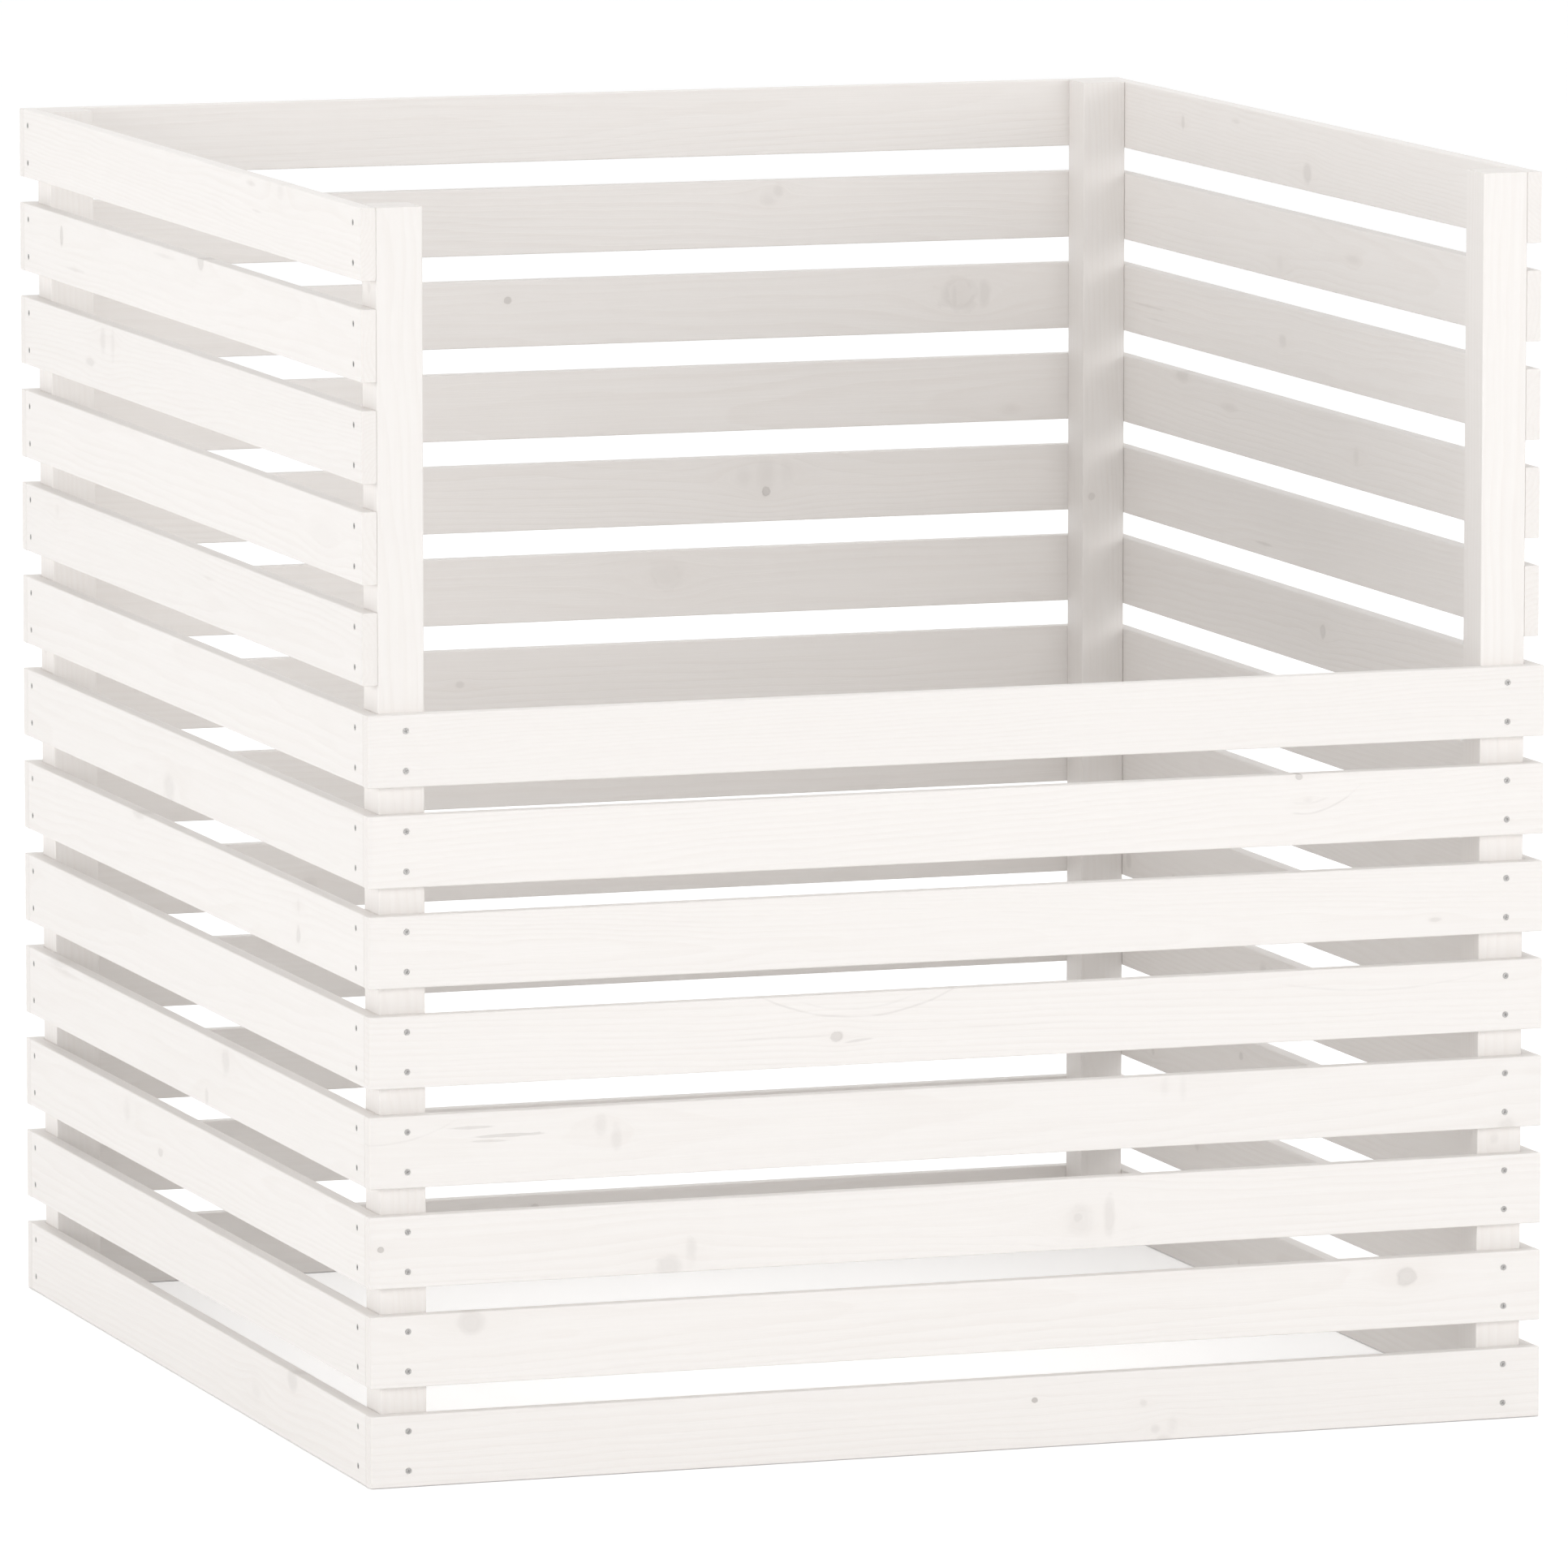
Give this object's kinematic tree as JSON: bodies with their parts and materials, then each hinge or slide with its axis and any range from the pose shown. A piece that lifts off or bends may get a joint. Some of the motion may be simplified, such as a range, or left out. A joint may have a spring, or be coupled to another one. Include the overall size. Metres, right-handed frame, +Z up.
{
  "type": "slatted compost bin",
  "caption": "Square wooden compost bin of level slats screwed to corner posts, open at the top and bottom and over a lower front.",
  "frame": {"origin": "on the ground, under the middle of the bin", "axes": "+Z up, -Y out of the lower front, +X to the right seen from the front"},
  "size_m": [1, 1, 1.0204],
  "materials": {
    "slat_paint": "planed pine under thin white paint, satin",
    "post_paint": "planed pine under thin white paint, satin",
    "screw_steel": "dull zinc plating"
  },
  "bodies": {
    "root": {"post_front_left": "post_paint", "post_front_right": "post_paint", "post_back_left": "post_paint", "post_back_right": "post_paint", "front_slat_01": "slat_paint", "front_slat_02": "slat_paint", "front_slat_03": "slat_paint", "front_slat_04": "slat_paint", "front_slat_05": "slat_paint", "front_slat_06": "slat_paint", "front_slat_07": "slat_paint", "front_slat_08": "slat_paint", "left_slat_01": "slat_paint", "left_slat_02": "slat_paint", "left_slat_03": "slat_paint", "left_slat_04": "slat_paint", "left_slat_05": "slat_paint", "left_slat_06": "slat_paint", "left_slat_07": "slat_paint", "left_slat_08": "slat_paint", "left_slat_09": "slat_paint", "left_slat_10": "slat_paint", "left_slat_11": "slat_paint", "left_slat_12": "slat_paint", "left_slat_13": "slat_paint", "right_slat_01": "slat_paint", "right_slat_02": "slat_paint", "right_slat_03": "slat_paint", "right_slat_04": "slat_paint", "right_slat_05": "slat_paint", "right_slat_06": "slat_paint", "right_slat_07": "slat_paint", "right_slat_08": "slat_paint", "right_slat_09": "slat_paint", "right_slat_10": "slat_paint", "right_slat_11": "slat_paint", "right_slat_12": "slat_paint", "right_slat_13": "slat_paint", "back_slat_01": "slat_paint", "back_slat_02": "slat_paint", "back_slat_03": "slat_paint", "back_slat_04": "slat_paint", "back_slat_05": "slat_paint", "back_slat_06": "slat_paint", "back_slat_07": "slat_paint", "back_slat_08": "slat_paint", "back_slat_09": "slat_paint", "back_slat_10": "slat_paint", "back_slat_11": "slat_paint", "back_slat_12": "slat_paint", "back_slat_13": "slat_paint"}
  },
  "joints": []
}
